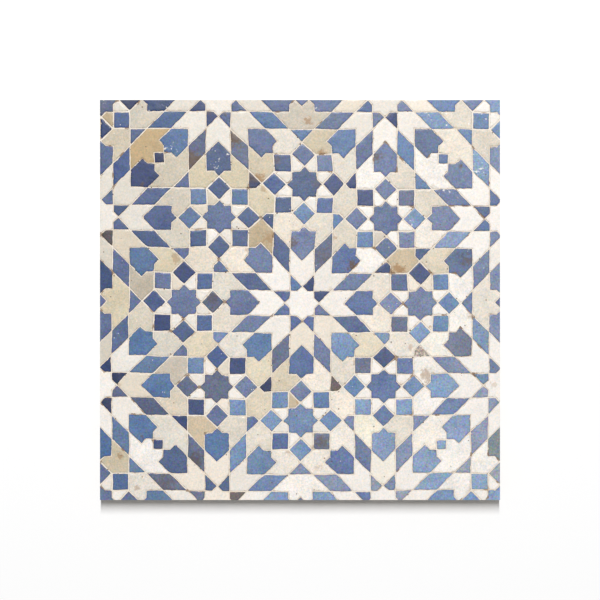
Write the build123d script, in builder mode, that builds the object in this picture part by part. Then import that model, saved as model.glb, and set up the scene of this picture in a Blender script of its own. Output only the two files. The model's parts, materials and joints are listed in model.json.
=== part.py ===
from build123d import *

import os
from math import sqrt

# A square mosaic panel: hand-cut pieces of glazed terracotta, set face up in a mortar bed.
# The face is one full repeat of an eight-fold star pattern, so panels laid edge to edge carry it on.
# The panel lies on its back with its face up. The origin is the middle of the back, and +Y is the
# top of the panel as it hangs on a wall.

# Driving dimensions, in millimetres and degrees
panel_side = 600.0  # one repeat of the pattern, from edge to edge
tessera_height = 12.0  # a glazed piece, from its face to its back
flank_angle = 6.0  # lean of the chiselled flanks, which make a piece smaller at its back
joint_width = 2.0  # between the faces of two neighbours
joint_recess = 0.8  # the mortar in the joints stands this far below the faces
bed_thickness = 13.0  # mortar under the backs of the pieces

# The pattern. Every edge of every piece runs at a multiple of an eighth of a turn, so each corner
# is a sum of whole modules and whole diagonals of a module.
fold = 8  # points of a star
sides = 4  # of the panel
eighth_turn = 360 / fold
diag = sqrt(2)  # the diagonal of one module
module = panel_side / (16 + 12 * diag)  # half the side of the two squares that make up a star

# Levels
face_level = bed_thickness + tessera_height
joint_level = face_level - joint_recess

# Distances between the centres of the pattern
ring_radius = (4 + 4 * diag) * module  # from a rosette to the blue stars around it
rosette_shift = (4 + 2 * diag) * module  # from the middle of an edge to the rosettes on it
square_radius = (1 + diag) * module  # from a blue star to the squares around it
half_side = panel_side / 2
corner_radius = half_side * diag
bridge_radius = (6 + 4 * diag) * module * diag  # from the panel's centre to the bridge in each corner


def spins(count, first=0.0):
    """Turns about a centre, evenly spaced."""
    return PolarLocations(0, count, first).locations


def at_each(places, spots):
    """Every spot, seen from every place."""
    return [place * spot for place in places for spot in spots]


# Centres. In each of those that lie round the panel's centre, +X points outwards.
middle = [Location((0, 0))]
edge_rosettes = (
    GridLocations(2 * rosette_shift, panel_side, 2, 2).locations
    + GridLocations(panel_side, 2 * rosette_shift, 2, 2).locations
)
rosettes = middle + edge_rosettes
ring_stars = PolarLocations(ring_radius, fold).locations
corner_stars = PolarLocations(corner_radius, sides, eighth_turn).locations
stars = ring_stars + corner_stars
bridges = (
    PolarLocations(half_side, sides).locations
    + PolarLocations(bridge_radius, sides, eighth_turn).locations
)
shields = at_each(spins(fold), [Location(((2 + diag) * module, (4 + 3 * diag) * module))])

# The turns at which a lantern points at a star of the ring, and at a star in a corner
ring_lanterns = [Rotation(0, 0, step * eighth_turn) for step in (0, 3, 5)]
corner_lanterns = [Rotation(0, 0, step * eighth_turn) for step in (1, 7)]
lanterns = at_each(ring_stars, ring_lanterns) + at_each(corner_stars, corner_lanterns)

# Outlines, in modules, each seen from the centre that it is laid around. The star's points
# alternate with its notches.
star_outline = [
    corner.rotate(Axis.Z, eighth_turn * step)
    for step in range(fold)
    for corner in (Vector(diag, 0), Vector(1, diag - 1))
]
kite_outline = [(diag, 0), (1, diag - 1), (1, 1), (1 + diag, 1)]
square_outline = [(1, 0), (0, 1), (-1, 0), (0, -1)]
arrow_outline = [
    (diag, 0),
    (1 + diag, 1),
    (3 + diag, 1),
    (2 + diag, 0),
    (3 + diag, -1),
    (1 + diag, -1),
]
lozenge_outline = [
    (1 + diag, 1),
    (1 + 2 * diag, 1 + diag),
    (3 + 2 * diag, 1 + diag),
    (3 + diag, 1),
]
lantern_outline = [
    (2 + diag, 0),
    (3 + diag, 1),
    (3 + 2 * diag, 1),
    (3 + 2 * diag, diag - 1),
    (2 + 3 * diag, 0),
    (3 + 2 * diag, 1 - diag),
    (3 + 2 * diag, -1),
    (3 + diag, -1),
]
wing_outline = [
    (-1 - 3 * diag, 1),
    (-1 - 2 * diag, 1 + diag),
    (-1 - diag, 1 + diag),
    (-1 - diag, 1),
    (-2 - diag, 0),
    (-1 - 2 * diag, diag - 1),
    (-1 - 2 * diag, 1),
]
shield_outline = [
    (-1, -1),
    (-1, diag - 1),
    (0, diag),
    (diag - 1, 1),
    (1, 1),
    (1, 1 - diag),
    (0, -diag),
    (1 - diag, -1),
]
small_square_outline = [(2 - diag, 0), (0, 2 - diag), (diag - 2, 0), (0, diag - 2)]
triangle_outline = [(-2 - diag, 0), (-1 - diag, -1), (-1 - diag, 1)]
saddle_outline = [
    (-1, 1 + diag),
    (-1 - diag, 1),
    (-1 - diag, -1),
    (-1, -1 - diag),
    (-1, -1),
    (1 - diag, -1),
    (0, diag - 2),
    (diag - 2, 0),
    (0, 2 - diag),
    (1 - diag, 1),
    (-1, 1),
]


def tessera(outline):
    """One piece, seen from its centre: half a joint inside its outline, with leaning flanks."""
    with BuildPart() as piece:
        with BuildSketch(Plane.XY.offset(face_level)):
            with BuildLine():
                Polyline(*[Vector(*corner) * module for corner in outline], close=True)
            make_face()
            offset(amount=-joint_width / 2, kind=Kind.INTERSECTION)
        extrude(amount=-tessera_height)
        flanks = piece.faces().filter_by(Axis.Z, reverse=True)
        draft(flanks, Plane.XY.offset(face_level), -flank_angle)
    return piece.part


def lay(label, piece, places):
    """Copies of one piece in all its places, sawn off at the panel's edges."""
    with BuildPart() as laid:
        with Locations(*places):
            add(piece)
        Box(
            panel_side,
            panel_side,
            face_level,
            align=(Align.CENTER, Align.CENTER, Align.MIN),
            mode=Mode.INTERSECT,
        )
    laid.part.label = label
    return laid.part


# The kinds of piece. A wing has a left and a right hand.
star = tessera(star_outline)
kite = tessera(kite_outline)
wing = tessera(wing_outline)

tesserae = [
    lay("white_stars", star, rosettes),
    lay("blue_stars", star, stars),
    lay(
        "blue_kites",
        kite,
        at_each(rosettes, spins(fold)) + at_each(shields, spins(2, eighth_turn)),
    ),
    lay("white_kites", kite, at_each(stars, spins(fold))),
    lay("white_arrows", tessera(arrow_outline), at_each(rosettes, spins(fold))),
    lay("blue_lozenges", tessera(lozenge_outline), at_each(rosettes, spins(fold))),
    lay("blue_lanterns", tessera(lantern_outline), at_each(rosettes, spins(fold))),
    lay("cream_wings_left", wing, lanterns),
    lay("cream_wings_right", mirror(wing, Plane.XZ), lanterns),
    lay("cream_shields", tessera(shield_outline), shields),
    lay(
        "blue_squares",
        tessera(square_outline),
        at_each(stars, PolarLocations(square_radius, fold).locations),
    ),
    lay("small_blue_squares", tessera(small_square_outline), bridges),
    lay("blue_triangles", tessera(triangle_outline), at_each(bridges, spins(2))),
    lay("cream_saddles", tessera(saddle_outline), at_each(bridges, spins(2))),
]

# The mortar, cast round the pieces: it fills the joints and covers their backs
with BuildPart() as mortar_bed:
    Box(
        panel_side,
        panel_side,
        joint_level,
        align=(Align.CENTER, Align.CENTER, Align.MIN),
    )
    add(tesserae, mode=Mode.SUBTRACT)
mortar_bed.part.label = "mortar_bed"

os.makedirs("parts", exist_ok=True)
for part in [*tesserae, mortar_bed.part]:
    export_step(part, f"parts/{part.label}.step")
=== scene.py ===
import bmesh
import bpy
import json
import math
import numpy as np
import random
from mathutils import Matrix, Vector, kdtree, noise

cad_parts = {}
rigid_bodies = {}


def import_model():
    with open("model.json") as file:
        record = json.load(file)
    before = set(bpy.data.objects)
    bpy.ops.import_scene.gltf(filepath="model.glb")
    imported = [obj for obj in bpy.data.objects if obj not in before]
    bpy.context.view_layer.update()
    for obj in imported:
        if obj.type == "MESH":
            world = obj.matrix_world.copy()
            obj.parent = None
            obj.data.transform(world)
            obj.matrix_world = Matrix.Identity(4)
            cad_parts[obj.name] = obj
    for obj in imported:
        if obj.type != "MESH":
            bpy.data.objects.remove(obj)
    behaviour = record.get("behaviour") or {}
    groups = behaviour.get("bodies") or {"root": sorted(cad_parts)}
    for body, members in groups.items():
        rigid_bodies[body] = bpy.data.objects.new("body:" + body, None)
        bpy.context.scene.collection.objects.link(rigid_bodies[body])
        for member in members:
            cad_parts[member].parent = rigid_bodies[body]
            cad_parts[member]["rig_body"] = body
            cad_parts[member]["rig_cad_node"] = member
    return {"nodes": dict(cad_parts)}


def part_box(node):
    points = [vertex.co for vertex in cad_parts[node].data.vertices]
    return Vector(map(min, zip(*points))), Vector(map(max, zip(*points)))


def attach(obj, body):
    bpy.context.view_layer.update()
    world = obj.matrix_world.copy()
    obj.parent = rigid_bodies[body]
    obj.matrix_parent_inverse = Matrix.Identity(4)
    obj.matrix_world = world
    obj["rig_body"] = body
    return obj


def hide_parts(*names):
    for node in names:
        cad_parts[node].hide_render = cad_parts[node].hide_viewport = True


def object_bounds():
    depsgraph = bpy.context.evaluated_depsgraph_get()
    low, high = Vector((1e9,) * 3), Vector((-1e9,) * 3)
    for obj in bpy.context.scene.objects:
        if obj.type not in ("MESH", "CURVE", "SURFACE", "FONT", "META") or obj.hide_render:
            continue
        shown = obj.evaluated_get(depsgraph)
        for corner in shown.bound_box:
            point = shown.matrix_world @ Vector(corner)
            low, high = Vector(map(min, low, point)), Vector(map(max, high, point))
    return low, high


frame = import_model()
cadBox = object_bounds()
print("frame loaded:", len(frame["nodes"]), "nodes")

millimetre = 0.001
panel = {
    "half": cadBox[1].x,
    "faceLevel": cadBox[1].z,
    "jointLevel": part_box("mortar_bed")[1].z,
    "backLevel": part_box("blue_stars")[0].z,
    "photoSpan": 400,  # pixels across the panel in the photograph
    "photoCentre": (300, 300),  # its middle there, in pixels
}
pixelSize = 2 * panel["half"] / panel["photoSpan"]
nearby = 0.01 * millimetre  # two points closer than this are one
facingUp = 0.9  # the top of a piece has normals that rise more than this
flatAngle = math.radians(1)  # two faces that bend less than this are one
smoothAngle = math.radians(38)  # a sharper edge than this stays sharp


# Studio: pale floor, one soft lamp beyond the panel's top edge, even sky, camera straight above
studio = {
    "floorSize": 12,
    "floorTone": (252, 252, 252),
    "lampRise": 62,  # degrees above the floor
    "lampGap": 8.0,  # metres away
    "lampSize": (0.3, 4.6),  # narrow across, long towards the panel, so only the near edge is shaded
    "lampPower": 600,
    "skyStrength": 0.27,
    "gain": 1.1,  # light on a flat face, against a tone as seen
    "gloss": 0.008,  # sky seen in the glaze
    "lens": 135,
    "sensor": 36,
    "view": 1.5 * 2 * panel["half"],  # metres across the picture at the panel's face
    "farClip": 100,  # metres
}


def linearTone(tone):
    # a tone as seen, 0 to 255 a channel, to the share of light that a surface sends back
    shares = [max(0.0, min(255.0, part)) / 255 for part in tone]
    return [s / 12.92 if s <= 0.04045 else ((s + 0.055) / 1.055) ** 2.4 for s in shares] + [1.0]


def glazeLight(tone):
    # the same for a glaze, less the gloss of the sky and the strength of the studio's light
    return [max(0.0, part - studio["gloss"]) / studio["gain"] for part in linearTone(tone)[:3]] + [1.0]


def photoPlace(pixel):
    across = (pixel[0] - panel["photoCentre"][0]) * pixelSize
    up = (panel["photoCentre"][1] - pixel[1]) * pixelSize
    return across, up


def smoothStep(share):
    share = max(0.0, min(1.0, share))
    return share * share * (3 - 2 * share)


# How a hand lays the pieces: rows wander, each piece slips and leans a little
handLaid = {
    "seed": 7,
    "slip": 0.12 * millimetre,
    "twist": 0.4,  # degrees
    "bend": 1.5 * millimetre,  # of neighbouring edges together
    "bendGrain": 26,  # bends per metre
    "wobble": 0.65 * millimetre,  # of a cut edge by itself
    "wobbleGrain": 125,  # waves of a cut edge per metre
    "lean": 0.4,  # degrees
    "sink": 0.22 * millimetre,
    "edgeFree": 0.03,  # metres from the edge within which bends die out
    "waveStart": 90,  # each piece's waver starts somewhere in this stretch of the noise
    "chanceGrain": 900,  # chances per metre
    "chanceSpread": 0.9,  # of a chance, about one half
    "sawWaste": 0.5 * millimetre,  # at least this much overhangs the panel's side until it is sawn
}
noise.seed_set(handLaid["seed"])  # the vector noise is seeded by the clock otherwise

# Where the laid pattern has slipped from the drawn one: place in the photograph and slip, in pixels
slipsSeen = [
    ((302, 304), (2, 3.5)), ((304, 184), (4.5, 1.5)), ((386, 219), (3, 1.5)), ((420, 303), (3, 3.5)),
    ((384, 387), (1, 3.5)), ((301, 421), (1, 3.5)), ((217, 387), (-0.5, 4)), ((184, 302), (1, 2)),
    ((219, 217), (2, 0)), ((169, 120), (0.5, -0.9)), ((272, 120), (1.5, -0.7)),
    ((337, 120), (2.0, -0.3)), ((436, 120), (2.0, -0.3)), ((122, 167), (1.0, -0.5)),
    ((120, 270), (0.3, 0.5)), ((119, 337), (-0.8, 1.5)), ((120, 435), (-0.3, 2.5)),
    ((482, 166), (1.8, 0.5)), ((482, 270), (1.8, 2.0)), ((481, 335), (1.3, 2.5)),
    ((480, 434), (0.0, 2.5)), ((165, 482), (-0.3, 2.6)), ((268, 483), (0.5, 3.8)),
    ((332, 483), (0.5, 3.8)), ((434, 481), (0.5, 2.0)),
]
slipReach = 22 * pixelSize  # within which one reading rules


def slipsAt(points):
    # the slip at each point, from the readings near it
    total = np.zeros((len(points), 2))
    weight = np.zeros((len(points), 1))
    for pixel, slip in slipsSeen:
        gap = ((points[:, :2] - photoPlace(pixel)) ** 2).sum(1, keepdims=True) + slipReach**2
        total += np.array((slip[0], -slip[1])) * pixelSize / gap**2
        weight += 1 / gap**2
    return total / weight


def draws(centre, salt):
    # the same numbers for the same place on every run
    place = f"{handLaid['seed']} {salt} {round(centre[0] * 1000)} {round(centre[1] * 1000)}"
    return random.Random(place)


def chanceAt(place, salt):
    # a chance, 0 to 1, that depends on the place alone and not on the order of the points
    grain = noise.noise(Vector(place) * handLaid["chanceGrain"] + Vector((salt, salt, salt)))
    return max(0.0, min(1.0, 0.5 + handLaid["chanceSpread"] * grain))


def laidMotion(centre):
    # slip and turn of one whole piece
    lot = draws(centre, "motion")
    across = lot.uniform(-1, 1) * handLaid["slip"]
    up = lot.uniform(-1, 1) * handLaid["slip"]
    return across, up, math.radians(lot.uniform(-1, 1) * handLaid["twist"])


def keepForSaw(before, after):
    # a point on the panel's side stays outside the saw's line, so that the cut is clean
    sawn = np.abs(before) > panel["half"] - nearby
    waste = np.sign(before) * np.maximum(np.abs(after), panel["half"] + handLaid["sawWaste"])
    return np.where(sawn, waste, after)


def moveFlat(points, centre, motion):
    # wavers the cut edges, then slides and turns the piece
    across, up, turn = motion
    offset = points[:, :2] - np.array(centre)
    salt = Vector((0, 0, draws(centre, "wobble").uniform(0, handLaid["waveStart"])))
    for number, point in enumerate(points):
        flat = Vector((point[0], point[1], 0))
        edge = panel["half"] - max(abs(point[0]), abs(point[1]))
        free = smoothStep(edge / handLaid["edgeFree"])
        bend = noise.noise_vector(flat * handLaid["bendGrain"]) * handLaid["bend"] * free
        wave = noise.noise_vector(flat * handLaid["wobbleGrain"] + salt) * handLaid["wobble"]
        offset[number] += np.array((bend + wave).xy)
    spun = np.empty_like(offset)
    spun[:, 0] = offset[:, 0] * math.cos(turn) - offset[:, 1] * math.sin(turn)
    spun[:, 1] = offset[:, 0] * math.sin(turn) + offset[:, 1] * math.cos(turn)
    moved = spun + np.array(centre) + np.array((across, up)) + slipsAt(points)
    points[:, :2] = keepForSaw(points[:, :2], moved)


# Glazes, as tones seen in daylight
blueGlazes = {
    "slate": (113, 127, 161),
    "deepSlate": (91, 108, 143),
    "ink": (62, 72, 104),
    "navy": (71, 85, 125),
    "cobalt": (95, 115, 157),
    "azure": (102, 130, 170),
    "steel": (110, 134, 168),
    "sky": (123, 149, 185),
    "periwinkle": (121, 143, 180),
    "dusk": (106, 115, 141),
    "umber": (106, 98, 98),
    "mist": (134, 144, 166),
    "lichen": (112, 126, 136),
    "rubble": (160, 150, 146),
}
paleGlazes = {
    "chalk": (252, 246, 239),
    "warmWhite": (245, 238, 229),
    "pearl": (232, 225, 213),
    "ivory": (241, 230, 214),
    "bone": (230, 221, 206),
    "straw": (229, 217, 192),
    "sand": (219, 206, 182),
    "putty": (210, 200, 185),
    "tan": (205, 187, 158),
    "honey": (215, 190, 153),
}
starShares = {"slate": 1}
blueShares = {"slate": 68, "deepSlate": 14, "steel": 12, "cobalt": 6}
whiteShares = {"chalk": 48, "warmWhite": 38, "ivory": 12, "pearl": 2}
creamShares = {"ivory": 22, "bone": 38, "warmWhite": 14, "straw": 20, "pearl": 6}
liftShares = {  # of a change of tone, in red, green and blue
    "blue": (1.1, 1.0, 0.78),
    "pale": (0.95, 1.0, 1.2),
}
glazing = {
    "drawnSpread": 0.3,  # of a drawn glaze, as a share of the painted light's rise to the right
    "markedShare": 0.7,  # of the painted light's rise and the painted shade's fall, in a named glaze
    "markedSpread": 3,  # of a named glaze, in levels
    "stainMargin": 2.5 * pixelSize,  # a listed stain this close to a piece is on it
    "stainChance": 0.25,  # of a small stain at a corner, on a piece with no listed one
    "stainReach": (2, 6),  # pixels
    "stainStrength": (0.15, 0.5),
}

# The pieces that stand out, by a place inside each in the photograph
markedGlazes = {
    "ink": [(253, 181), (118, 379), (268, 383), (105, 406), (130, 105), (160, 158)],
    "mist": [(465, 464), (376, 483), (404, 495), (497, 471)],
    "lichen": [(494, 443)],
    "navy": [
        (366, 198), (162, 325), (240, 367), (196, 409), (183, 272), (334, 184), (384, 357),
        (420, 273), (211, 119), (384, 270), (322, 296), (105, 366), (202, 107), (394, 119), (353, 181),
        (309, 284), (143, 175), (158, 445), (182, 423),
    ],
    "deepSlate": [
        (303, 183), (174, 460), (197, 238), (218, 248), (219, 187), (428, 141), (181, 334), (206, 482),
        (150, 239), (281, 254), (281, 203), (240, 239), (353, 326),
    ],
    "steel": [(142, 261), (147, 367), (120, 436), (260, 461), (189, 217), (481, 334)],
    "dusk": [
        (198, 149), (240, 149), (324, 253), (197, 453), (165, 481), (322, 442), (213, 303), (187, 387),
        (217, 387), (150, 407), (407, 197), (461, 343), (282, 354), (399, 324), (363, 365),
        (106, 107), (117, 393), (195, 494),
    ],
    "umber": [(107, 236), (336, 385), (236, 494)],
    "cobalt": [
        (343, 261), (205, 281), (203, 326), (280, 442), (119, 481), (384, 387), (326, 205), (446, 158),
        (296, 362), (122, 120), (122, 167), (273, 183), (494, 197), (482, 225), (468, 303),
        (281, 297), (294, 323), (310, 323), (384, 417), (365, 494), (252, 421), (341, 461),
    ],
    "azure": [
        (177, 142), (343, 143), (407, 149), (444, 106), (441, 281), (258, 347), (140, 344), (217, 446),
        (441, 324), (449, 303), (355, 387), (414, 387), (324, 401), (332, 422), (481, 120), (142, 428),
        (272, 120), (468, 135), (496, 131), (420, 182), (340, 222), (298, 284), (157, 387), (106, 444),
        (481, 378), (442, 494), (470, 494), (366, 241), (303, 134),
    ],
    "sky": [
        (421, 334), (417, 218), (195, 366), (238, 409), (280, 399), (271, 421), (299, 452), (344, 346),
        (482, 166), (441, 444), (478, 480), (303, 214), (442, 387), (434, 481), (322, 494), (436, 120),
        (492, 107), (238, 454), (276, 496), (363, 409), (405, 409), (493, 493),
    ],
    "periwinkle": [(454, 239), (219, 338), (303, 421), (458, 426), (426, 460), (268, 482), (383, 445)],
    "rubble": [(421, 352)],
    "honey": [(148, 143)],
    "tan": [(402, 262), (261, 230), (201, 429), (107, 119), (293, 401)],
    "putty": [(140, 284), (306, 115), (175, 369), (292, 120), (380, 238)],
    "sand": [(436, 261), (262, 166), (260, 405), (282, 374), (115, 458), (322, 139)],
    "straw": [(198, 175), (237, 174), (201, 344), (258, 370), (115, 306)],
    "pearl": [(175, 223), (169, 429), (166, 342), (237, 344), (348, 166), (426, 369)],
    "bone": [(174, 169), (407, 178), (383, 282), (428, 432), (232, 424)],
    "ivory": [(446, 141), (434, 346), (322, 329), (303, 335)],
    "chalk": [(370, 261), (370, 181), (141, 456)],
}
# Pieces with painted glints: clusters of white specks of painted highlight in the glaze
glintedPieces = [
    (322, 103), (436, 120), (481, 120), (482, 160), (417, 218), (456, 197), (177, 142), (159, 107),
    (218, 157), (462, 118), (485, 140), (219, 104), (106, 107), (408, 219),
]
# Brown stains in the glaze: place in the photograph, reach in pixels and strength
blueStains = [
    ((192, 161), 15, 0.85), ((234, 135), 16, 0.9), ((354, 266), 8, 0.9), ((292, 242), 8, 0.7),
    ((467, 261), 8, 0.6), ((377, 157), 7, 0.7), ((253, 178), 7, 0.5), ((195, 462), 12, 0.5),
    ((165, 484), 14, 0.4), ((324, 256), 12, 0.35), ((213, 298), 9, 0.4), ((322, 442), 9, 0.5),
    ((317, 183), 7, 0.4), ((277, 160), 6, 0.5), ((461, 166), 3, 0.8), ((142, 437), 3, 0.6),
    ((143, 185), 4, 0.5),
]
paleStains = [
    ((260, 178), 8, 0.8), ((308, 121), 6, 0.75), ((322, 153), 6, 0.8), ((399, 270), 10, 0.85),
    ((270, 238), 9, 0.5), ((176, 258), 7, 0.5), ((426, 376), 9, 0.55), ((318, 468), 6, 0.3),
    ((297, 402), 2.5, 0.9), ((430, 327), 2, 0.9), ((335, 237), 3, 0.7), ((264, 189), 5, 0.5),
    ((120, 456), 4, 0.6), ((137, 488), 4, 0.5), ((494, 384), 5, 0.4), ((410, 347), 4, 0.4),
]
# Brown dirt along the joints: place in the photograph and reach, in pixels
dirtSeen = [
    (117, 101, 4), (138, 103, 4), (127, 129, 4), (154, 124, 5), (121, 153, 6), (110, 146, 4), (113, 175, 5),
    (114, 187, 4), (167, 153, 5), (248, 187, 5), (261, 217, 4), (272, 235, 6), (219, 259, 3), (101, 235, 5),
    (101, 262, 4), (111, 272, 6), (187, 230, 3), (224, 302, 5), (103, 292, 4), (288, 181, 4), (278, 112, 5),
    (284, 121, 3), (293, 101, 4), (322, 153, 6), (330, 171, 4), (376, 160, 7), (387, 143, 7), (398, 170, 6),
    (402, 158, 6), (376, 137, 5), (429, 156, 4), (474, 147, 4), (488, 183, 4), (320, 122, 4), (452, 205, 6),
    (465, 205, 6), (481, 216, 8), (363, 249, 3), (355, 265, 7), (374, 249, 4), (392, 271, 7), (430, 271, 5),
    (455, 273, 6), (468, 235, 3), (412, 207, 5), (497, 185, 3), (101, 310, 4), (153, 327, 5), (170, 331, 4),
    (183, 318, 4), (187, 376, 5), (178, 383, 4), (199, 387, 3), (217, 369, 3), (272, 315, 3), (302, 322, 3),
    (134, 413, 6), (141, 412, 5), (133, 401, 4), (101, 405, 4), (123, 450, 4), (101, 462, 4), (101, 488, 4),
    (153, 441, 4), (187, 491, 3), (201, 493, 4), (202, 468, 4), (205, 433, 3), (347, 334, 3), (395, 358, 6),
    (357, 373, 3), (344, 383, 3), (413, 377, 5), (474, 374, 6), (404, 306, 6), (444, 316, 5), (461, 327, 5),
    (480, 346, 6), (398, 470, 3), (498, 384, 4), (498, 459, 4), (498, 481, 4), (470, 454, 4), (488, 454, 4),
    (486, 487, 3), (437, 414, 5), (460, 499, 4), (490, 499, 7), (323, 420, 5), (473, 317, 4),
]


def dirtAt(points):
    # how much of the brown dirt lies at each point
    found = np.zeros(len(points))
    for across, down, reach in dirtSeen:
        gap = np.hypot(*(points[:, :2] - photoPlace((across, down))).T) / (reach * pixelSize)
        found = np.maximum(found, np.clip(1.5 * (1 - gap), 0, 1))
    return found


def shadeTone(tone, lift, family):
    # a tone made lighter or darker: a lighter blue is greyer, a darker pale glaze yellower
    channels = liftShares["blue" if family is blueGlazes else "pale"]
    lifted = [part + lift * share for part, share in zip(tone, channels)]
    if family is blueGlazes:
        return lifted
    return [min(part, top) for part, top in zip(lifted, paleGlazes["chalk"])]  # none is whiter than chalk


def chooseTone(centre, shares, paintedLightRise, paintedShadeFall, family):
    # a drawn glaze with painted light and shade: lighter to the right and darker to the top
    lot = draws(centre, "glaze")
    names = list(shares)
    name = lot.choices(names, weights=[shares[n] for n in names])[0]
    right, up = centre[0] / panel["half"], centre[1] / panel["half"]
    # painted light lifts the tone to the right and painted shade lowers it to the top, with a random spread
    lift = paintedLightRise * (right + lot.gauss(0, glazing["drawnSpread"])) - paintedShadeFall * up
    return shadeTone(family[name], lift, family)


def insideOutline(starts, ends, places):
    # which places lie inside one closed outline, by counting the edges to the right of each
    across, up = places[:, :1], places[:, 1:]
    crossed = (starts[:, 1] > up) != (ends[:, 1] > up)
    rise = np.where(crossed, ends[:, 1] - starts[:, 1], 1)
    meets = starts[:, 0] + (up - starts[:, 1]) * (ends[:, 0] - starts[:, 0]) / rise
    return (crossed & (across < meets)).sum(1) % 2 == 1


def drawnPlaces(pixels):
    # where places of the photograph lie on the drawn pattern, before its pieces slipped
    places = np.array([photoPlace(pixel) for pixel in pixels])
    return places - slipsAt(places)


# Cut pieces: the top edge is worn into an arris, chipped where the chisel slipped
arris = {
    "width": 0.7 * millimetre,
    "rim": 2.0 * millimetre,  # from the arris to the clean middle of the face
    "segment": 2.7 * millimetre,  # of a subdivided edge
    "drop": 0.06 * millimetre,
    "chipDrop": 0.22 * millimetre,
    "leastLost": 0.08,  # of the arris, everywhere
    "nick": 0.4,  # of the arris, lost at random
    "chipLost": 0.4,  # of the arris, lost in a chip
    "mostLost": 0.95,
    "blunt": (0.15, 1.0),  # of the arris, lost at a corner
    "ringFollow": 0.8,  # of a blunted corner, in the ring inside it
    "cornerFrom": 0.2,  # a sharper bend of the outline begins to be a corner
    "cornerRange": 0.45,  # and is one when it is this much sharper
    "chipGrain": 210,  # chips per metre
    "chipFrom": 0.12,  # noise above this begins a chip
    "chipRange": 0.4,
    "saltRange": 9,  # sets the pieces apart in the noise
    "bluntSalt": 50,  # sets the corners apart from the nicks
    "wear": 0.4,  # of the outline, where it isn't chipped
    "ringWear": 0.12,
    "ringDirt": 0.4,
    "bareWear": 0.64,  # of a piece without its glaze
    "bareDent": 0.55 * millimetre,
    "bareGrain": 400,  # dents per metre
}
insideRim = 0.0
arrisRim = 0.6
outlineRim = 1.0
arrisFrom = 0.3  # points with more rim than this lie on the arris or the outline
outlineFrom = 0.99  # and with more than this, on the outline


def selectAll():
    bpy.ops.mesh.select_all(action="SELECT")


def selectNone(kind):
    # nothing selected, with edges or faces to be picked next
    bpy.context.tool_settings.mesh_select_mode = (False, kind == "edges", kind == "faces")
    bpy.ops.mesh.select_all(action="DESELECT")


def copyNode(nodeName):
    bpy.ops.object.select_all(action="DESELECT")
    node = frame["nodes"][nodeName]
    node.select_set(True)
    bpy.context.view_layer.objects.active = node
    bpy.ops.object.duplicate()
    piece = bpy.context.active_object
    piece.parent = None
    piece.name = nodeName + "_laid"
    piece.data.name = piece.name
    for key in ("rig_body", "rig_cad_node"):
        del piece[key]
    piece.data.materials.clear()
    bpy.ops.mesh.customdata_custom_splitnormals_clear()
    bpy.ops.object.mode_set(mode="EDIT")
    selectAll()
    bpy.ops.mesh.remove_doubles(threshold=nearby)
    return piece


def cutArrises(piece):
    # in edit mode: whole flanks and faces, a ring at the mortar's level, two rings inside the face
    mesh = piece.data
    bpy.ops.mesh.dissolve_limited(angle_limit=flatAngle)
    selectAll()
    bpy.ops.mesh.bisect(plane_co=(0, 0, panel["jointLevel"]), plane_no=(0, 0, 1))
    selectNone("faces")
    grid = bmesh.from_edit_mesh(mesh)
    rim = grid.verts.layers.float.new("rim")
    for vert in grid.verts:
        vert[rim] = outlineRim
    for face in grid.faces:
        face.select_set(face.normal.z > facingUp)
    bmesh.update_edit_mesh(mesh)
    for width, level in ((arris["width"], arrisRim), (arris["rim"], insideRim)):
        bpy.ops.mesh.inset(thickness=width, use_individual=True)
        grid = bmesh.from_edit_mesh(mesh)
        rim = grid.verts.layers.float["rim"]
        for face in grid.faces:
            if face.select:
                for vert in face.verts:
                    vert[rim] = level
        bmesh.update_edit_mesh(mesh)
    bpy.ops.mesh.delete(type="ONLY_FACE")
    divideOutlines(mesh)
    selectAll()
    bpy.ops.mesh.fill_holes(sides=0)
    selectAll()
    bpy.ops.mesh.normals_make_consistent(inside=False)
    bpy.ops.object.mode_set(mode="OBJECT")


def oppositeEdge(face, edge):
    if len(face.verts) != 4:
        return None
    for loop in face.loops:
        if loop.edge == edge:
            return loop.link_loop_next.link_loop_next.edge
    return None


def divideOutlines(mesh):
    # every stretch of outline, with the rings inside it and the ring below, in short segments
    grid = bmesh.from_edit_mesh(mesh)
    rim = grid.verts.layers.float["rim"]
    cuts = grid.edges.layers.int.new("cuts")
    counts = set()
    for edge in list(grid.edges):
        if any(v[rim] < outlineRim or v.co.z < panel["faceLevel"] - nearby for v in edge.verts):
            continue
        count = round(edge.calc_length() / arris["segment"]) - 1
        if count < 1:
            continue
        counts.add(count)
        edge[cuts] = count
        for face in edge.link_faces:
            other = oppositeEdge(face, edge)
            other[cuts] = count
            if face.normal.z > facingUp:  # a face of the outer ring, so the inner ring is next
                nextFace = next(f for f in other.link_faces if f != face)
                oppositeEdge(nextFace, other)[cuts] = count
    bmesh.update_edit_mesh(mesh)
    for count in sorted(counts):
        selectNone("edges")
        grid = bmesh.from_edit_mesh(mesh)
        cuts = grid.edges.layers.int["cuts"]
        for edge in grid.edges:
            if edge[cuts] == count:
                edge.select_set(True)
        bmesh.update_edit_mesh(mesh)
        bpy.ops.mesh.subdivide(number_cuts=count, quadcorner="STRAIGHT_CUT")


def splitIslands(mesh):
    # which piece each point belongs to
    label = np.full(len(mesh.vertices), -1)
    links = [[] for _ in mesh.vertices]
    for edge in mesh.edges:
        a, b = edge.vertices
        links[a].append(b)
        links[b].append(a)
    islands = []
    for start in range(len(links)):
        if label[start] >= 0:
            continue
        label[start] = len(islands)
        queue, members = [start], []
        while queue:
            point = queue.pop()
            members.append(point)
            for other in links[point]:
                if label[other] < 0:
                    label[other] = len(islands)
                    queue.append(other)
        islands.append(np.array(members))
    return islands


def readPoints(mesh):
    points = np.empty(len(mesh.vertices) * 3)
    mesh.vertices.foreach_get("co", points)
    return points.reshape(-1, 3)


def readValues(mesh, name):
    values = np.empty(len(mesh.vertices))
    mesh.attributes[name].data.foreach_get("value", values)
    return values


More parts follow.
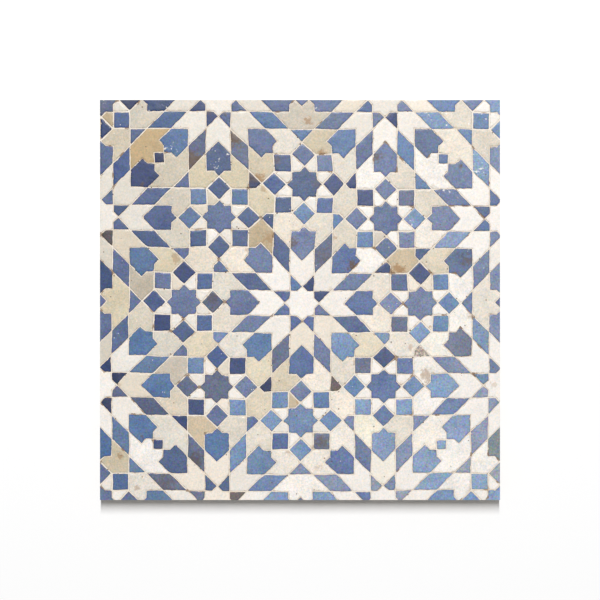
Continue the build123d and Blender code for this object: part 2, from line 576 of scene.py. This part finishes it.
def storeValues(mesh, name, kind, values):
    layer = mesh.attributes.new(name, kind, "POINT")
    field = {"FLOAT": "value", "FLOAT_VECTOR": "vector", "FLOAT_COLOR": "color"}[kind]
    layer.data.foreach_set(field, np.asarray(values, dtype=np.float32).ravel())


def sawSides(mesh):
    # cuts the active piece flush with the panel's four sides
    bpy.ops.object.mode_set(mode="EDIT")
    for side in ((1, 0, 0), (-1, 0, 0), (0, 1, 0), (0, -1, 0)):
        selectAll()
        place = Vector(side) * panel["half"]
        bpy.ops.mesh.bisect(plane_co=place, plane_no=side, clear_outer=True, threshold=nearby)
        selectAll()
        bpy.ops.mesh.fill_holes(sides=0)
    selectAll()
    bpy.ops.mesh.normals_make_consistent(inside=False)
    bpy.ops.object.mode_set(mode="OBJECT")
    points = readPoints(mesh)
    points[:, :2] = np.clip(points[:, :2], -panel["half"], panel["half"])
    mesh.vertices.foreach_set("co", points.ravel())
    mesh.update()


bedPlaces = []  # every point of a piece at or below the mortar's level, its growth and its piece
laidPieces = []  # centre and motion of every piece


def cornerShares(points, edges, inward):
    # 1 at a sharp corner of an outline, 0 along it and at a corner that points inwards
    middle = np.zeros_like(points)
    np.add.at(middle, edges[:, 0], 0.5 * (points[edges[:, 1]] - points[edges[:, 0]]))
    np.add.at(middle, edges[:, 1], 0.5 * (points[edges[:, 0]] - points[edges[:, 1]]))
    depth = np.linalg.norm(inward, axis=1)
    bend = (middle * inward).sum(1) / np.maximum(depth, nearby) / arris["segment"]
    share = (bend - arris["cornerFrom"]) / arris["cornerRange"]
    return np.clip(share, 0, 1) * (depth > nearby)


def markTones(tones, centres, borders, paintedLightRise, paintedShadeFall, family):
    # named glazes for the pieces that stand out; gives back the numbers of those without a glaze
    follow = glazing["markedShare"]
    bare = set()
    for name in family:
        if name not in markedGlazes:
            continue
        places = drawnPlaces(markedGlazes[name])
        for number, border in enumerate(borders):
            if not insideOutline(border[:, 0], border[:, 1], places).any():
                continue
            right, up = (part / panel["half"] for part in centres[number])
            # painted light: lighter to the right, and painted shade: darker to the top, as on the drawn
            # glazes
            lift = follow * paintedLightRise * right - follow * paintedShadeFall * up
            lift += draws(centres[number], "marked").gauss(0, glazing["markedSpread"])
            tones[number] = shadeTone(family[name], lift, family)
            if name == "rubble":
                bare.add(number)
    return bare


def wearOutline(outlinePoints, points, inward, sharp, wear, salt):
    # chips, nicks and blunted corners round one piece, before it is moved
    least, most = arris["blunt"]
    for point in outlinePoints:
        place = Vector(points[point])
        grain = noise.noise(place * arris["chipGrain"] + Vector((0, 0, salt)))
        chip = smoothStep((grain - arris["chipFrom"]) / arris["chipRange"])
        lost = arris["leastLost"] + arris["nick"] * chanceAt(place, salt) + arris["chipLost"] * chip
        sharp[point] *= least + (most - least) * chanceAt(place, salt + arris["bluntSalt"])
        points[point] += inward[point] * (min(arris["mostLost"], lost) + sharp[point])
        points[point, 2] -= arris["drop"] + arris["chipDrop"] * chip
        wear[point] = arris["wear"] + (1 - arris["wear"]) * chip


def chooseStain(moved, stains, inside, lot):
    # place, reach and strength of one piece's stain: a listed one, or now and then a small one
    found = (0, 0, 0, 0)
    for (pixel, reach, strength), within in zip(stains, inside):
        place = photoPlace(pixel)
        if within or np.hypot(*(moved[:, :2] - place).T).min() < glazing["stainMargin"]:
            found = (*place, reach * pixelSize, strength)
    if found[2] == 0 and lot.random() < glazing["stainChance"]:
        angle = lot.uniform(0, 2 * math.pi)
        corner = moved[np.argmax(moved[:, :2] @ (math.cos(angle), math.sin(angle)))]
        reach = lot.uniform(*glazing["stainReach"]) * pixelSize
        found = (*corner[:2], reach, lot.uniform(*glazing["stainStrength"]))
    return found


def layPieces(nodeName, shares, paintedLightRise, paintedShadeFall, grow):
    piece = copyNode(nodeName)
    cutArrises(piece)
    mesh = piece.data
    points = readPoints(mesh)
    rim = readValues(mesh, "rim")
    top = points[:, 2] > panel["faceLevel"] - nearby
    outline = top & (rim > outlineFrom)
    arrisRing = top & (rim > arrisFrom) & ~outline
    atJoint = np.abs(points[:, 2] - panel["jointLevel"]) < nearby
    inward = np.zeros_like(points)
    ends = np.empty(len(mesh.edges) * 2, dtype=int)
    mesh.edges.foreach_get("vertices", ends)
    ends = ends.reshape(-1, 2)
    edges = ends[outline[ends].all(1)]  # of the outlines
    ends = np.vstack((ends, ends[:, ::-1]))
    rims = ends[outline[ends[:, 0]] & arrisRing[ends[:, 1]]]
    inward[rims[:, 0]] = points[rims[:, 1]] - points[rims[:, 0]]
    walls = ends[atJoint[ends[:, 0]] & outline[ends[:, 1]]]
    inward[walls[:, 0]] = inward[walls[:, 1]]
    sharp = cornerShares(points, edges, inward)
    outward = -inward * grow * millimetre / arris["width"]
    islands = splitIslands(mesh)
    centres = [tuple(points[i[outline[i]], :2].mean(0)) for i in islands]
    owner = np.empty(len(points), dtype=int)
    for number, members in enumerate(islands):
        owner[members] = number
    borders = [points[edges[owner[edges[:, 0]] == number], :2] for number in range(len(islands))]
    family = blueGlazes if next(iter(shares)) in blueGlazes else paleGlazes
    tones = [chooseTone(c, shares, paintedLightRise, paintedShadeFall, family) for c in centres]
    bare = markTones(tones, centres, borders, paintedLightRise, paintedShadeFall, family)
    # places of the pieces that carry painted glints
    glintPlaces = drawnPlaces(glintedPieces)
    stains = blueStains if family is blueGlazes else paleStains
    stainPlaces = drawnPlaces([pixel for pixel, reach, strength in stains])
    wear = np.zeros(len(points))
    wear[atJoint] = 1.0
    seed = np.zeros(len(points))
    tone = np.zeros((len(points), 4))
    stain = np.zeros((len(points), 4))
    for number, (members, centre) in enumerate(zip(islands, centres)):
        lot = draws(centre, "cut")
        motion = laidMotion(centre)
        laidPieces.append((centre, motion))
        for point in members[points[members, 2] < panel["jointLevel"] + nearby]:
            bedPlaces.append((points[point].copy(), outward[point].copy(), len(laidPieces) - 1))
        starts, stops = borders[number][:, 0], borders[number][:, 1]
        seed[members] = lot.random()
        salt = arris["saltRange"] * seed[members[0]]
        tone[members] = glazeLight(tones[number])
        # the alpha marks a piece that carries painted glints
        tone[members, 3] = insideOutline(starts, stops, glintPlaces).any()
        points[members] += outward[members]
        wearOutline(members[outline[members]], points, inward, sharp, wear, salt)
        wear[members[arrisRing[members]]] = arris["ringWear"]
        face = members[top[members]]
        if number in bare:
            wear[members] = arris["bareWear"]
            for point in face:
                dent = 1 + noise.noise(Vector(points[point]) * arris["bareGrain"])
                points[point, 2] -= arris["bareDent"] * dent
        # lean and height of this piece's face
        leanX = math.radians(lot.uniform(-1, 1) * handLaid["lean"])
        leanY = math.radians(lot.uniform(-1, 1) * handLaid["lean"])
        across, up = (points[face, :2] - centre).T
        rise = across * math.tan(leanX) + up * math.tan(leanY)
        points[face, 2] += rise - rise.max() - lot.random() * handLaid["sink"]
        moved = points[members]
        moveFlat(moved, centre, motion)
        points[members] = moved
        stain[members] = chooseStain(moved, stains, insideOutline(starts, stops, stainPlaces), lot)
    for ringPoint, outlinePoint in rims[:, ::-1]:
        points[ringPoint] += arris["ringFollow"] * sharp[outlinePoint] * inward[outlinePoint]
    mesh.vertices.foreach_set("co", points.ravel())
    soiled = np.where(rim > outlineFrom, 1.0, np.where(rim > arrisFrom, arris["ringDirt"], 0.0))
    storeValues(mesh, "wear", "FLOAT", wear)
    storeValues(mesh, "pieceSeed", "FLOAT", seed)
    storeValues(mesh, "glazeTone", "FLOAT_COLOR", tone)
    storeValues(mesh, "stain", "FLOAT_COLOR", stain)
    storeValues(mesh, "dirt", "FLOAT", dirtAt(points) * soiled)
    mesh.update()
    sawSides(mesh)
    bpy.ops.object.shade_smooth_by_angle(angle=smoothAngle)
    return piece


# Each glaze's shares and their painted shade, darker from the middle to the top, then its kinds of piece:
# the painted light that lifts their tones from the middle to the right, and their growth into the joint in
# millimetres
batches = [
    ("white_glaze", whiteShares, 13, {
        "white_stars": (12, 0.5), "white_kites": (13, 0.1), "white_arrows": (17, 0.4),
    }),
    ("blue_glaze", starShares, 16, {"blue_stars": (14, 1.0)}),
    ("blue_glaze", blueShares, 16, {
        "blue_kites": (19, 0.6), "blue_lozenges": (27, 0.6), "blue_lanterns": (25, 0.85),
        "blue_squares": (25, 0.0), "small_blue_squares": (18, 0.5), "blue_triangles": (25, 0.6),
    }),
    ("cream_glaze", creamShares, 20, {
        "cream_wings_left": (22, 0.4), "cream_wings_right": (22, 0.4), "cream_shields": (10, 0.4),
        "cream_saddles": (20, 0.4),
    }),
]
laid = []  # every finished kind, with its slot
for slotName, shares, paintedShadeFall, kinds in batches:
    for nodeName, (paintedLightRise, grow) in kinds.items():
        piece = layPieces(nodeName, shares, paintedLightRise, paintedShadeFall, grow)
        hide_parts(nodeName)
        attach(piece, "root")
        laid.append((piece, slotName))
        print("laid", nodeName, len(piece.data.polygons), "faces")


# The mortar: rough in the joints, cast plain at the sides and back
mortar = {
    "segment": 4.5 * millimetre,
    "cuts": (7, 3, 1),  # of a long edge of a joint, the longest edges first
    "spare": 0.6,  # segments that such an edge has to have beyond its cuts
    "lip": 0.1 * millimetre,  # above the pieces' backs, where a sawn side is divided
    "sideCorners": 20,  # only a sawn side has more
    "rough": 0.22 * millimetre,
    "roughGrain": 320,  # lumps per metre
}


def divideSides(mesh):
    # parts the mortar between two pieces from the bed under them, in each sawn side
    bpy.ops.object.mode_set(mode="EDIT")
    selectNone("faces")
    grid = bmesh.from_edit_mesh(mesh)
    for face in grid.faces:
        face.select_set(len(face.verts) > mortar["sideCorners"])
    bmesh.update_edit_mesh(mesh)
    place = (0, 0, panel["backLevel"] + mortar["lip"])
    bpy.ops.mesh.bisect(plane_co=place, plane_no=(0, 0, 1), threshold=nearby)
    bpy.ops.object.mode_set(mode="OBJECT")


def castMortar():
    piece = copyNode("mortar_bed")
    mesh = piece.data
    for count in mortar["cuts"]:
        selectNone("edges")
        grid = bmesh.from_edit_mesh(mesh)
        for edge in grid.edges:
            level = all(v.co.z > panel["jointLevel"] - nearby for v in edge.verts)
            if level and edge.calc_length() > mortar["segment"] * (count + mortar["spare"]):
                edge.select_set(True)
        bmesh.update_edit_mesh(mesh)
        bpy.ops.mesh.subdivide(number_cuts=count)
    selectAll()
    bpy.ops.mesh.quads_convert_to_tris()
    bpy.ops.object.mode_set(mode="OBJECT")
    points = readPoints(mesh)
    bedPlaces.sort(key=lambda entry: tuple(np.round(entry[0], 6)))  # so every run has one order
    tree = kdtree.KDTree(len(bedPlaces))
    for number, (place, outward, pieceNumber) in enumerate(bedPlaces):
        tree.insert(place, number)
    tree.balance()
    followers = {}
    for point in np.flatnonzero(points[:, 2] > nearby):
        place, number, gap = tree.find(points[point])
        if gap < arris["segment"]:
            place, outward, pieceNumber = bedPlaces[number]
            points[point] += outward
            followers.setdefault(pieceNumber, []).append(point)
    for pieceNumber, group in followers.items():
        moved = points[group]
        moveFlat(moved, *laidPieces[pieceNumber])
        points[group] = moved
    points[:, :2] = keepForSaw(points[:, :2], points[:, :2])
    for point in np.flatnonzero(points[:, 2] > panel["jointLevel"] - nearby):
        lump = noise.noise(Vector(points[point]) * mortar["roughGrain"])
        points[point, 2] += mortar["rough"] * lump
    mesh.vertices.foreach_set("co", points.ravel())
    storeValues(mesh, "dirt", "FLOAT", dirtAt(points))
    mesh.update()
    sawSides(mesh)
    divideSides(mesh)
    bpy.ops.object.shade_smooth_by_angle(angle=smoothAngle)
    return piece


bed = castMortar()
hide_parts("mortar_bed")
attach(bed, "root")
print("cast mortar:", len(bed.data.polygons), "faces")


# Shader helpers
def addNode(tree, kind, inputs=None, **settings):
    made = tree.nodes.new(kind)
    for key, value in settings.items():
        setattr(made, key, value)
    for key, value in (inputs or {}).items():
        socket = made.inputs[key]
        if isinstance(value, bpy.types.NodeSocket):
            tree.links.new(value, socket)
        else:
            socket.default_value = value
    return made


def mixTone(tree, share, first, second, blend="MIX"):
    inputs = {0: share, 6: first, 7: second}
    return addNode(tree, "ShaderNodeMix", inputs, data_type="RGBA", blend_type=blend).outputs[2]


def calc(tree, operation, first, second=0.0, clamp=False):
    inputs = {0: first, 1: second}
    return addNode(tree, "ShaderNodeMath", inputs, operation=operation, use_clamp=clamp).outputs[0]


def times(tree, product, *others):
    for other in others:
        product = calc(tree, "MULTIPLY", product, other)
    return product


def ramp(tree, value, low, high, start=0.0, end=1.0):
    inputs = {"Value": value, "From Min": low, "From Max": high, "To Min": start, "To Max": end}
    return addNode(tree, "ShaderNodeMapRange", inputs, interpolation_type="SMOOTHSTEP").outputs[0]


def cloud(tree, place, scale, detail=3.0, shift=0.0):
    inputs = {"Vector": place, "W": shift, "Scale": scale, "Detail": detail}
    return addNode(tree, "ShaderNodeTexNoise", inputs, noise_dimensions="4D").outputs[0]


def swing(tree, value, reach):
    # a noise about one half, made to swing about nought
    return times(tree, calc(tree, "SUBTRACT", value, 0.5), reach)


def shadeBy(tree, tone, value, reach):
    # a tone made lighter and darker by a noise
    level = calc(tree, "ADD", swing(tree, value, reach), 1.0)
    return addNode(tree, "ShaderNodeHueSaturation", {"Color": tone, "Value": level}).outputs[0]


def scatter(tree, place, scale):
    # cells: how far a place is from the middle of its cell, and what the cell has drawn
    cells = addNode(tree, "ShaderNodeTexVoronoi", {"Vector": place, "Scale": scale})
    drawn = addNode(tree, "ShaderNodeSeparateColor", {0: cells.outputs["Color"]}).outputs
    return cells.outputs["Distance"], drawn


def objectPlace(tree):
    return addNode(tree, "ShaderNodeTexCoord").outputs["Object"]


# In these looks a scale counts features per metre, and a bump is its depth and strength
soil = {
    "tone": (126, 94, 64),
    "scale": 520,
    "ragged": 1.8,
    "border": (0.4, 0.9),
    "least": 0.3,  # thinner dirt fades out
}


def soilMask(tree, place, dirt, cover):
    # brown dirt, crumbly at its border
    crumbs = swing(tree, cloud(tree, place, soil["scale"], 3, 4.0), soil["ragged"])
    mask = ramp(tree, calc(tree, "ADD", dirt, crumbs), *soil["border"], 0.0, cover)
    return times(tree, mask, ramp(tree, dirt, 0.0, soil["least"]))


firing = {
    "patchScale": 34,  # thicker and thinner glaze
    "mottleScale": 120,
    "mottleShare": 0.35,
    "grainScale": 430,
    "grainShare": 2.2,
    "speckScale": 190,
    "speckShare": 0.045,
    "speckTone": (96, 72, 52),
    "shine": 0.4,
    "bump": (1.2 * millimetre, 0.25),
    "dirtCover": 0.85,
}
paintedGlints = {"scale": 330, "cover": 0.8, "tone": (250, 246, 240)}  # painted glints: white specks of painted highlight on the glaze
staining = {"scale": 260, "ragged": 2.6, "leastReach": 1e-5}  # a smaller reach is no stain
wearing = {
    "scale": 330,
    "ragged": 0.7,
    "bodyTone": (232, 219, 198),
    "dirtTone": (168, 136, 100),
}
glazeSockets = [
    ("INPUT", "NodeSocketColor", ("Tone", "Stain Tone")),
    ("INPUT", "NodeSocketVector", ("Stain",)),
    ("INPUT", "NodeSocketFloat", ("Seed", "Rim", "Wear", "Stain Strength", "Painted Glints", "Dirt")),
    ("INPUT", "NodeSocketFloat", ("Patches", "Mottle", "Grain", "Specks", "Pooling", "Free Green")),
    ("OUTPUT", "NodeSocketColor", ("Colour",)),
    ("OUTPUT", "NodeSocketFloat", ("Roughness", "Height")),
]


def makeGlazeGroup():
    # the look of one fired and worn face: patches, specks, painted glints, stains, dirty arris and chips
    group = bpy.data.node_groups.new("firedGlaze", "ShaderNodeTree")
    for side, kind, labels in glazeSockets:
        for label in labels:
            group.interface.new_socket(name=label, in_out=side, socket_type=kind)
    given = group.nodes.new("NodeGroupInput").outputs
    result = group.nodes.new("NodeGroupOutput").inputs
    place = objectPlace(group)
    shift = times(group, given["Seed"], 61)
    # thick and thin patches, then small mottles that differ in hue
    patch = cloud(group, place, firing["patchScale"], 3, shift)
    glaze = shadeBy(group, given["Tone"], patch, given["Patches"])
    mottles = (
        (firing["mottleScale"], firing["mottleShare"]),
        (firing["grainScale"], firing["grainShare"]),
    )
    for scale, share in mottles:
        inputs = {"Vector": place, "W": shift, "Scale": scale, "Detail": 2.0}
        hues = addNode(group, "ShaderNodeTexNoise", inputs, noise_dimensions="4D").outputs[1]
        red, green, blue = addNode(group, "ShaderNodeSeparateColor", {0: hues}).outputs
        between = times(group, calc(group, "ADD", red, blue), 0.5)
        free = times(group, calc(group, "SUBTRACT", green, between), given["Free Green"])
        green = calc(group, "ADD", between, free)
        hues = addNode(group, "ShaderNodeCombineColor", {0: red, 1: green, 2: blue}).outputs[0]
        doubled = mixTone(group, 1.0, hues, (2.0, 2.0, 2.0, 1.0), "MULTIPLY")
        amount = times(group, given["Mottle"], share)
        glaze = mixTone(group, amount, glaze, mixTone(group, 1.0, glaze, doubled, "MULTIPLY"))
    grain = cloud(group, place, firing["grainScale"], 2, shift)
    glaze = shadeBy(group, glaze, grain, given["Grain"])
    # the glaze pools darker along the rim
    pool = times(group, ramp(group, given["Rim"], 0.15, 0.9), given["Pooling"])
    glaze = mixTone(group, pool, glaze, mixTone(group, 1.0, glaze, (0.5, 0.52, 0.6, 1.0), "MULTIPLY"))
    # iron specks
    gap, drawn = scatter(group, place, firing["speckScale"])
    share = times(group, given["Specks"], firing["speckShare"])
    size = times(group, drawn[1], 0.2)
    dot = ramp(group, calc(group, "SUBTRACT", gap, size), 0.0, 0.12, 1.0, 0.0)
    speck = times(group, calc(group, "LESS_THAN", drawn[0], share), dot)
    cover = times(group, speck, 0.7)
    glaze = mixTone(group, cover, glaze, linearTone(firing["speckTone"]))
    # painted glints: white specks of painted highlight, thin everywhere and in clusters on the glinted
    # pieces
    gap, drawn = scatter(group, place, paintedGlints["scale"])
    crowd = ramp(group, cloud(group, place, 12, 2, 3.0), 0.5, 0.72, 0.0, 0.035)
    dot = ramp(group, gap, 0.1, 0.32, 1.0, 0.0)
    glintDot = times(group, calc(group, "LESS_THAN", drawn[0], crowd), dot)
    cluster = ramp(group, cloud(group, place, 62, 2, 6.0), 0.5, 0.62)
    shape = ramp(group, cloud(group, place, 230, 4, 2.0), 0.56, 0.66)
    glintCluster = times(group, shape, cluster, given["Painted Glints"])
    cover = times(group, calc(group, "MAXIMUM", glintDot, glintCluster), paintedGlints["cover"])
    glaze = mixTone(group, cover, glaze, linearTone(paintedGlints["tone"]))
    # a stain spreads from its own place, ragged at its border
    spot = addNode(group, "ShaderNodeSeparateXYZ", {0: given["Stain"]}).outputs
    here = addNode(group, "ShaderNodeSeparateXYZ", {0: place}).outputs
    dx = calc(group, "SUBTRACT", here[0], spot[0])
    dy = calc(group, "SUBTRACT", here[1], spot[1])
    squares = calc(group, "ADD", times(group, dx, dx), times(group, dy, dy))
    reach = calc(group, "MAXIMUM", spot[2], staining["leastReach"])
    reach = calc(group, "DIVIDE", calc(group, "SQRT", squares), reach)
    ragged = swing(group, cloud(group, place, staining["scale"], 5, shift), staining["ragged"])
    stained = ramp(group, calc(group, "ADD", reach, ragged), 0.25, 0.95, 1.0, 0.0)
    there = calc(group, "GREATER_THAN", spot[2], staining["leastReach"])
    stained = times(group, stained, there, given["Stain Strength"])
    glaze = mixTone(group, stained, glaze, given["Stain Tone"])
    # dirt along the arris, and the clay where the glaze is chipped off
    ragged = swing(group, cloud(group, place, wearing["scale"], 4, shift), wearing["ragged"])
    worn = calc(group, "ADD", given["Wear"], ragged)
    grime = ramp(group, cloud(group, place, 45, 3, 8.0), 0.5, 0.68, 0.04, 0.7)
    dirty = times(group, ramp(group, worn, 0.15, 0.55, 0.0, 0.7), grime)
    dirtTone = linearTone(wearing["dirtTone"])
    glaze = mixTone(group, dirty, glaze, dirtTone, "MULTIPLY")
    bare = ramp(group, worn, 0.6, 0.74)
    clay = cloud(group, place, 420, 4)
    body = mixTone(group, ramp(group, clay, 0.4, 0.7), linearTone(wearing["bodyTone"]), dirtTone)
    colour = mixTone(group, bare, glaze, body)
    soiled = soilMask(group, place, given["Dirt"], firing["dirtCover"])
    colour = mixTone(group, soiled, colour, linearTone(soil["tone"]))
    group.links.new(colour, result["Colour"])
    rough = times(group, bare, 0.45)
    rough = calc(group, "ADD", ramp(group, patch, 0.3, 0.7, 0.26, 0.42), rough, True)
    group.links.new(rough, result["Roughness"])
    height = cloud(group, place, 85, 2, shift)
    height = calc(group, "ADD", height, times(group, grain, 0.06))
    height = calc(group, "SUBTRACT", height, times(group, speck, 0.2))
    height = calc(group, "SUBTRACT", height, times(group, bare, clay, 0.9))
    group.links.new(height, result["Height"])
    return group


def readAttribute(tree, name, output):
    return addNode(tree, "ShaderNodeAttribute", attribute_name=name).outputs[output]


def newMaterial(name):
    made = bpy.data.materials.new(name)
    made.use_nodes = True
    tree = made.node_tree
    return made, tree, tree.nodes["Principled BSDF"]


def addBump(tree, shader, height, distance, strength):
    inputs = {"Height": height, "Distance": distance, "Strength": strength}
    tree.links.new(addNode(tree, "ShaderNodeBump", inputs).outputs[0], shader.inputs["Normal"])


glazeGroup = makeGlazeGroup()


def makeGlaze(name, look):
    made, tree, shader = newMaterial(name)
    finish = addNode(tree, "ShaderNodeGroup", node_tree=glazeGroup)
    for key, value in look.items():
        finish.inputs[key].default_value = value
    links = (
        ("Tone", "glazeTone", "Color"),
        ("Seed", "pieceSeed", "Fac"),
        ("Rim", "rim", "Fac"),
        ("Wear", "wear", "Fac"),
        ("Stain", "stain", "Vector"),
        ("Stain Strength", "stain", "Alpha"),
        ("Painted Glints", "glazeTone", "Alpha"),
        ("Dirt", "dirt", "Fac"),
    )
    for key, attribute, output in links:
        tree.links.new(readAttribute(tree, attribute, output), finish.inputs[key])
    tree.links.new(finish.outputs["Colour"], shader.inputs["Base Color"])
    tree.links.new(finish.outputs["Roughness"], shader.inputs["Roughness"])
    shader.inputs["Specular IOR Level"].default_value = firing["shine"]
    addBump(tree, shader, finish.outputs["Height"], *firing["bump"])
    return made


clayLook = {
    "light": (224, 206, 180),
    "dark": (196, 168, 134),
    "gritTone": (238, 226, 206),
    "lumpScale": 240,
    "gritScale": 1500,
    "bump": (1.0 * millimetre, 0.6),
}


def makeClay():
    # the fired clay of flanks and sawn edges
    made, tree, shader = newMaterial("firedClay")
    place = objectPlace(tree)
    lumps = cloud(tree, place, clayLook["lumpScale"], 5)
    grit = cloud(tree, place, clayLook["gritScale"], 2)
    mix = ramp(tree, lumps, 0.3, 0.7)
    tone = mixTone(tree, mix, linearTone(clayLook["light"]), linearTone(clayLook["dark"]))
    tone = mixTone(tree, ramp(tree, grit, 0.6, 0.75, 0.0, 0.5), tone, linearTone(clayLook["gritTone"]))
    tree.links.new(tone, shader.inputs["Base Color"])
    shader.inputs["Roughness"].default_value = 0.9
    height = calc(tree, "ADD", lumps, times(tree, grit, 0.4))
    addBump(tree, shader, height, *clayLook["bump"])
    return made


mortarLook = {
    "patchScale": 26,
    "gritScale": 900,
    "spotScale": 70,
    "crumbScale": 260,
    "crumbTone": (92, 70, 50),
    "dirtCover": 0.8,
    "bump": (0.9 * millimetre, 0.7),
}


def makeMortar(name, light, dark, spotTone, crumbShare):
    made, tree, shader = newMaterial(name)
    place = objectPlace(tree)
    patch = cloud(tree, place, mortarLook["patchScale"], 4)
    grit = cloud(tree, place, mortarLook["gritScale"], 3)
    spots = cloud(tree, place, mortarLook["spotScale"], 3, 5.0)
    tone = mixTone(tree, ramp(tree, patch, 0.3, 0.7), linearTone(light), linearTone(dark))
    tone = mixTone(tree, ramp(tree, grit, 0.45, 0.75, 0.0, 0.35), tone, linearTone(dark))
    tone = mixTone(tree, ramp(tree, spots, 0.58, 0.74, 0.0, 0.8), tone, linearTone(spotTone))
    gap, drawn = scatter(tree, place, mortarLook["crumbScale"])
    dot = ramp(tree, gap, 0.2, 0.42, 1.0, 0.0)
    crumb = times(tree, calc(tree, "LESS_THAN", drawn[0], crumbShare), dot)
    tone = mixTone(tree, crumb, tone, linearTone(mortarLook["crumbTone"]))
    soiled = soilMask(tree, place, readAttribute(tree, "dirt", "Fac"), mortarLook["dirtCover"])
    tone = mixTone(tree, soiled, tone, linearTone(soil["tone"]))
    tree.links.new(tone, shader.inputs["Base Color"])
    shader.inputs["Roughness"].default_value = 0.93
    height = calc(tree, "ADD", times(tree, patch, 0.6), grit)
    addBump(tree, shader, height, *mortarLook["bump"])
    return made


clayFinish = makeClay()
jointFinish = makeMortar("jointSlip", (243, 236, 226), (230, 219, 203), (158, 126, 92), 0.05)
castFinish = makeMortar("castMortar", (186, 180, 168), (160, 153, 141), (140, 130, 116), 0.02)
glazeLooks = {
    "white_glaze": {
        "Stain Tone": linearTone((190, 158, 118)), "Patches": 0.12, "Mottle": 0.12, "Grain": 0.15,
        "Specks": 0.5, "Pooling": 0.04, "Free Green": 0.4,
    },
    "cream_glaze": {
        "Stain Tone": linearTone((158, 120, 78)), "Patches": 0.32, "Mottle": 0.17, "Grain": 0.3,
        "Specks": 1.2, "Pooling": 0.06, "Free Green": 0.4,
    },
    "blue_glaze": {
        "Stain Tone": linearTone((94, 73, 52)), "Patches": 0.4, "Mottle": 0.42, "Grain": 0.3,
        "Specks": 0.6, "Pooling": 0.4, "Free Green": 0.9,
    },
}
glazeFinishes = {slotName: makeGlaze(slotName + "_fired", look) for slotName, look in glazeLooks.items()}
upperRise = 0.5  # a face whose normal rises more than this has the upper finish


def dress(piece, upper, lower):
    # faces that look up get one finish, flanks and backs the other
    piece.data.materials.append(upper)
    piece.data.materials.append(lower)
    for polygon in piece.data.polygons:
        polygon.material_index = 0 if polygon.normal.z > upperRise else 1


for piece, slotName in laid:
    dress(piece, glazeFinishes[slotName], clayFinish)
dress(bed, jointFinish, castFinish)
print("finishes on", len(laid) + 1, "pieces")


def makeStudio():
    bpy.ops.object.select_all(action="DESELECT")
    bpy.ops.mesh.primitive_plane_add(size=studio["floorSize"], location=(0, 0, 0))
    floor = bpy.context.active_object
    floor.name = "floor"
    bpy.ops.object.transform_apply(location=True, rotation=True, scale=True)
    made, tree, shader = newMaterial("paleFloor")
    shader.inputs["Base Color"].default_value = linearTone(studio["floorTone"])
    shader.inputs["Roughness"].default_value = 1.0
    shader.inputs["Specular IOR Level"].default_value = 0.0
    floor.data.materials.append(made)
    tilt = math.radians(studio["lampRise"] - 90)
    aim = Vector((0, math.sin(tilt), -math.cos(tilt)))
    bpy.ops.object.light_add(type="AREA", location=-aim * studio["lampGap"], rotation=(tilt, 0, 0))
    lamp = bpy.context.active_object
    lamp.name = "softLamp"
    lamp.data.shape = "RECTANGLE"
    lamp.data.size, lamp.data.size_y = studio["lampSize"]
    lamp.data.energy = studio["lampPower"]
    world = bpy.data.worlds.new("studioSky")
    bpy.context.scene.world = world
    world.use_nodes = True
    sky = world.node_tree.nodes["Background"]
    sky.inputs["Color"].default_value = (1, 1, 1, 1)
    sky.inputs["Strength"].default_value = studio["skyStrength"]
    distance = studio["view"] * studio["lens"] / studio["sensor"]
    bpy.ops.object.camera_add(location=(0, 0, panel["faceLevel"] + distance), rotation=(0, 0, 0))
    camera = bpy.context.active_object
    camera.name = "camera"
    camera.data.lens = studio["lens"]
    camera.data.sensor_width = studio["sensor"]
    camera.data.dof.use_dof = False
    camera.data.clip_end = studio["farClip"]
    bpy.context.scene.camera = camera
    bpy.context.scene.view_settings.view_transform = "Standard"


makeStudio()
print("studio ready")
